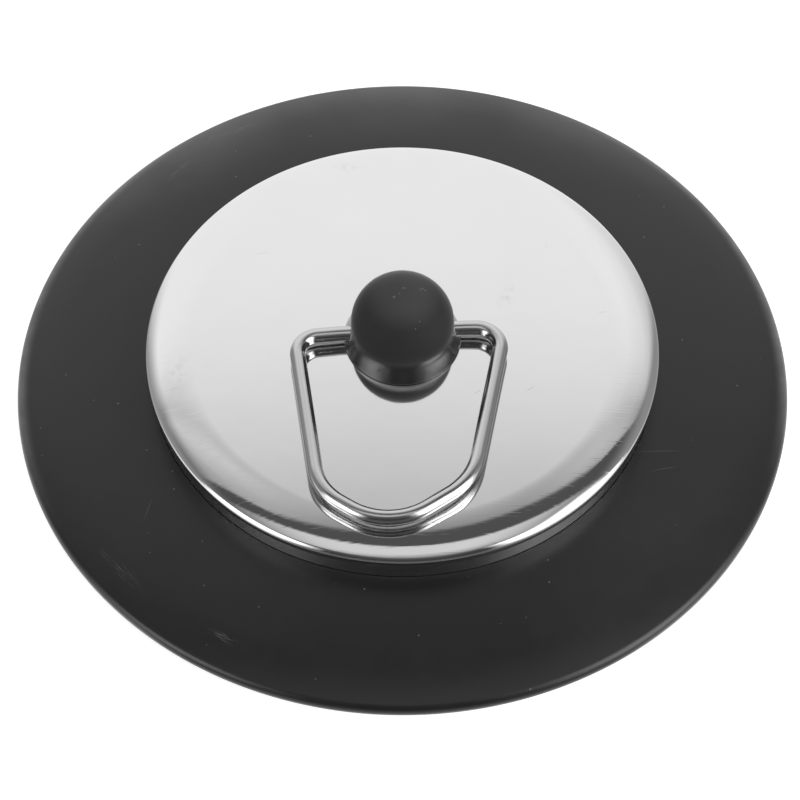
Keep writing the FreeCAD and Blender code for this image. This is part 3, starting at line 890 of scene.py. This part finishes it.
# ------------------------------------------------------------------ camera
TURN = 3.3            # the bail's pivot is turned this much in the view
ELEV = 54.45
DIST = 0.600
c3, s3 = math.cos(rad(TURN)), math.sin(rad(TURN))


def from_view(x, y, z=0.0):
    # from the viewer's axes (x right, y away) to the part's axes
    return Vector((x * c3 + y * s3, -x * s3 + y * c3, z))


aim = from_view(-0.32, -2.125, 1.466) * MM
back = from_view(0.0, -math.cos(rad(ELEV)), math.sin(rad(ELEV)))
cam_data = bpy.data.cameras.new("camera")
cam_data.sensor_width = 36.0
cam_data.lens = 4620.0 * 36.0 / 800.0
cam_data.clip_start, cam_data.clip_end = 0.01, 50.0
cam = bpy.data.objects.new("camera", cam_data)
bpy.context.scene.collection.objects.link(cam)
cam.location = aim + back * DIST
cam.rotation_mode = "QUATERNION"
cam.rotation_quaternion = (-back).to_track_quat("-Z", "Y")
bpy.context.scene.camera = cam

# ------------------------------------------------------------------ floor and light
floor_mesh = bpy.data.meshes.new("floor")
floor_mesh.from_pydata([(-6, -6, 0), (6, -6, 0), (6, 6, 0), (-6, 6, 0)], [], [(0, 1, 2, 3)])
floor = bpy.data.objects.new("floor", floor_mesh)
bpy.context.scene.collection.objects.link(floor)
floor.location.z = -0.00002
fm = bpy.data.materials.new("floor")
fm.use_nodes = True
fg = Graph(fm.node_tree)
f_out = fg.node("ShaderNodeOutputMaterial")
f_dif = fg.node("ShaderNodeBsdfDiffuse", {"Color": grey(0.55)})
f_emi = fg.node("ShaderNodeEmission", {"Color": grey(1.0), "Strength": 0.82})
f_add = fg.node("ShaderNodeAddShader", {0: f_dif.outputs[0], 1: f_emi.outputs[0]})
# the table's brightness as the polished metal meets it: lit from both sides, dim in front
f_co = fg.mapping(fg.node("ShaderNodeTexCoord").outputs["Object"], rot=(0, 0, rad(TURN)))
f_sep = fg.node("ShaderNodeSeparateXYZ", {0: f_co})
f_az = fg.math("ABSOLUTE", fg.math("ARCTAN2", f_sep.outputs[0], fg.math("MULTIPLY", f_sep.outputs[1], -1.0)))
f_lit = fg.math("MULTIPLY", fg.span(f_az, rad(26.0), rad(44.0), 0.14, 1.35), fg.span(f_az, rad(62.0), rad(100.0), 1.0, 0.32))
f_rad = fg.node("ShaderNodeVectorMath", {0: f_co}, operation="LENGTH").outputs["Value"]
f_lit = fg.math("MAXIMUM", f_lit, fg.span(f_rad, 0.0600, 0.0530, 0.0, 0.75))
f_lit = fg.math("MAXIMUM", f_lit, fg.span(f_az, rad(112.0), rad(145.0), 0.0, 1.15))
f_side = fg.node("ShaderNodeEmission", {"Color": grey(1.0), "Strength": f_lit})
f_ray = fg.node("ShaderNodeLightPath").outputs["Is Camera Ray"]
f_mix = fg.node("ShaderNodeMixShader", {0: f_ray, 1: f_side.outputs[0], 2: f_add.outputs[0]})
fg.t.links.new(f_mix.outputs[0], f_out.inputs[0])
floor_mesh.materials.append(fm)

world = bpy.data.worlds.new("studio")
bpy.context.scene.world = world
world.use_nodes = True
wg = Graph(world.node_tree)
w_out = wg.node("ShaderNodeOutputWorld")
w_dir = wg.node("ShaderNodeTexCoord").outputs["Generated"]
w_dir = wg.mapping(w_dir, rot=(0, 0, rad(TURN)))
w_sep = wg.node("ShaderNodeSeparateXYZ", {0: w_dir})
across, away, height = w_sep.outputs
# the wall's upper edge and the box over the table are hung a little askew
def turned(deg):
    return wg.math("SUBTRACT", wg.math("MULTIPLY", away, math.cos(rad(deg))), wg.math("MULTIPLY", across, math.sin(rad(deg))))


# angles from the horizon behind the object, over the top, to the viewer's side
straight = wg.math("DIVIDE", wg.math("ARCTAN2", height, away), math.pi)
edge = wg.math("DIVIDE", wg.math("ARCTAN2", height, turned(13.2)), math.pi)
box = wg.math("DIVIDE", wg.math("ARCTAN2", height, turned(7.5)), math.pi)


def arch(over, stops, top=3.0):
    ramp = wg.node("ShaderNodeValToRGB", {0: over})
    ramp.color_ramp.interpolation = "LINEAR"
    el = ramp.color_ramp.elements
    while len(el) > 1:
        el.remove(el[-1])
    el[0].position, el[0].color = stops[0][0] / 180.0, grey(stops[0][1] / top)
    for a, v in stops[1:]:
        e = el.new(a / 180.0)
        e.color = grey(v / top)
    return wg.math("MULTIPLY", ramp.outputs[0], top)


# white wall behind, fading upwards, then a gap, then a soft box overhead
WALL = [(0.0, 1.14), (48.0, 1.13), (52.0, 1.09), (54.0, 1.04), (56.0, 0.96), (58.0, 0.86), (60.0, 0.74),
        (62.0, 0.63), (64.5, 0.53), (68.4, 0.45), (72.0, 0.39), (74.0, 0.35), (80.0, 0.31), (180.0, 0.31)]
GAP = [(0.0, 1.0), (75.0, 1.0), (76.6, 0.5), (78.2, 0.0), (180.0, 0.0)]
OVERHEAD = [(0.0, 0.0), (89.6, 0.0), (92.0, 0.45), (94.4, 0.87), (110.0, 0.87), (114.5, 0.70), (118.5, 0.42), (122.0, 0.22),
            (128.0, 0.16), (140.0, 0.10), (155.0, 0.07), (180.0, 0.06)]
# the wall's corners stay lighter than its middle near its upper edge
lift = wg.math("MULTIPLY", wg.span(wg.math("ABSOLUTE", wg.math("SUBTRACT", across, 0.04)), 0.06, 0.30),
               wg.span(straight, 60.0 / 180.0, 66.0 / 180.0))
lift = wg.math("MULTIPLY_ADD", lift, wg.span(across, -0.05, 0.05, 0.6, 0.42), 1.0)
wall = wg.math("MULTIPLY", wg.math("MULTIPLY", wg.math("MULTIPLY", arch(straight, WALL), lift), arch(edge, GAP)),
               wg.math("MULTIPLY", wg.span(across, -0.84, -0.50, 0.34, 1.0), wg.math("MULTIPLY", wg.span(across, 0.26, 0.60, 1.0, 0.70, smooth=False),
                                                                                    wg.span(across, 0.58, 0.74, 1.0, 0.38))))
hung = wg.math("MULTIPLY", arch(box, OVERHEAD), wg.span(wg.math("ABSOLUTE", across), 0.88, 0.20))
azim = wg.math("ARCTAN2", across, wg.math("MULTIPLY", away, -1.0))
up = wg.math("ARCSINE", height)
light = wg.math("MAXIMUM", wall, hung)
# large lamps to the left and right: azimuths, edge, elevations, edge, strength
for z0, z1, ze, e0, e1, ee, power in ((42.0, 84.0, 12.0, -6.0, 50.0, 8.0, 5.0), (-72.0, -38.0, 12.0, -6.0, 34.0, 8.0, 4.2)):
    lamp = wg.math("MULTIPLY", wg.span(azim, rad(z0 - ze), rad(z0 + ze)), wg.span(azim, rad(z1 + ze), rad(z1 - ze)))
    lamp = wg.math("MULTIPLY", lamp, wg.math("MULTIPLY", wg.span(up, rad(e0 - ee), rad(e0 + ee)), wg.span(up, rad(e1 + ee), rad(e1 - ee))))
    light = wg.math("MAXIMUM", light, wg.math("MULTIPLY", lamp, power))
# dim room: a little lighter at the sides than round the camera
room = wg.math("MULTIPLY", wg.span(wg.math("ABSOLUTE", azim), rad(35.0), rad(95.0), 0.06, 0.34), wg.span(up, rad(55.0), rad(30.0), 0.3, 1.0))
light = wg.math("MAXIMUM", light, room)
w_bg = wg.node("ShaderNodeBackground", {"Color": grey(1.0), "Strength": light})
seen = wg.node("ShaderNodeBackground", {"Color": grey(0.95), "Strength": 1.0})
ray = wg.node("ShaderNodeLightPath").outputs["Is Camera Ray"]
w_mix = wg.node("ShaderNodeMixShader", {0: ray, 1: w_bg.outputs[0], 2: seen.outputs[0]})
wg.t.links.new(w_mix.outputs[0], w_out.inputs[0])

scene = bpy.context.scene
scene.view_settings.view_transform = "Standard"
scene.view_settings.look = "None"
scene.view_settings.exposure = 0.0
scene.view_settings.gamma = 1.0
